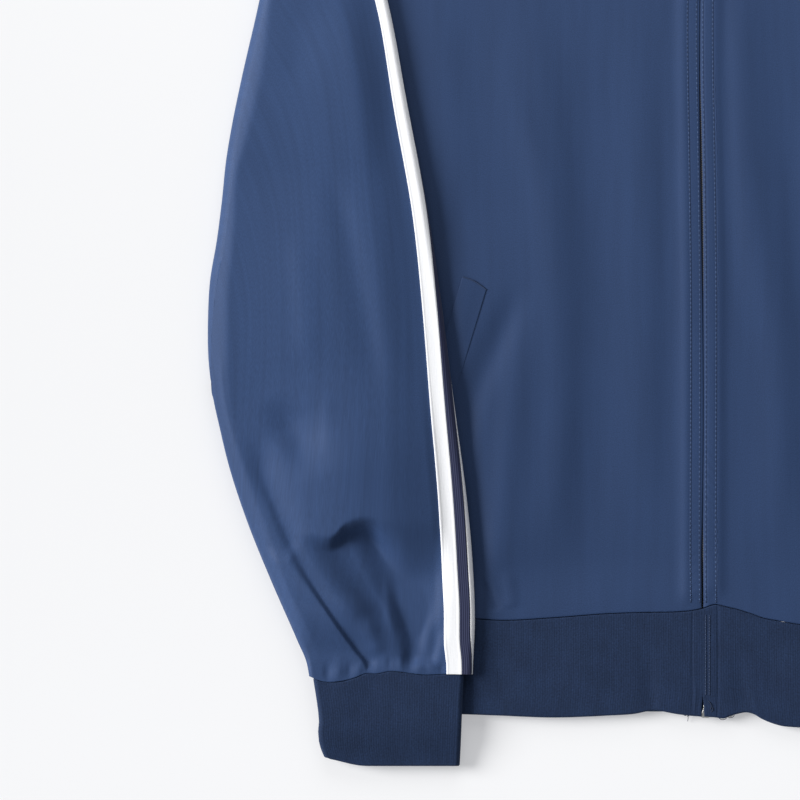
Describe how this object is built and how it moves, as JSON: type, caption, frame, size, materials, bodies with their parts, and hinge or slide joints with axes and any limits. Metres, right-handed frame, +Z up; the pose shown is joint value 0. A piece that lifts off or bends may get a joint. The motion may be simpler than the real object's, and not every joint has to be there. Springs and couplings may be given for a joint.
{
  "type": "track jacket",
  "caption": "Zip-front track jacket in satin knit with rib hem, cuffs and stand collar, lying flat with its sleeves folded over the fronts.",
  "frame": {"origin": "on the surface the jacket lies on, under the middle of its outline", "axes": "+X towards the wearer's left sleeve, +Y from the hem to the collar, +Z up from the surface; the jacket lies face up"},
  "size_m": [0.6224, 0.7188, 0.0235],
  "materials": {
    "satin": "navy satin-faced polyester tricot with a soft sheen",
    "rib": "darker navy fine rib knit, matt",
    "white_tape": "white knit tape, matt",
    "navy_tape": "dark navy knit tape with fine lengthwise ribs",
    "zip": "near-black woven zip tape and nylon coil",
    "metal": "plain silver-coloured zip metal"
  },
  "bodies": {
    "root": {"back": "satin", "front_right": "satin", "front_left": "satin", "welt_right": "satin", "welt_left": "satin", "sleeve_right": "satin", "sleeve_left": "satin", "tape_wide_right": "white_tape", "tape_wide_left": "white_tape", "tape_narrow_right": "white_tape", "tape_narrow_left": "white_tape", "tape_middle_right": "navy_tape", "tape_middle_left": "navy_tape", "cuff_right": "rib", "cuff_left": "rib", "hem_rib": "rib", "collar": "rib", "zip_chain": "zip", "zip_slider": "metal", "zip_end": "metal"},
    "pull_tab": {"pull_tab": "metal"}
  },
  "joints": [
    {"name": "pull_tab_flip", "type": "hinge", "parent": "root", "child": "pull_tab", "pos_m": [0, 0.286, 0.008], "axis": [-1, 0, 0], "range_deg": [0, 160]}
  ]
}
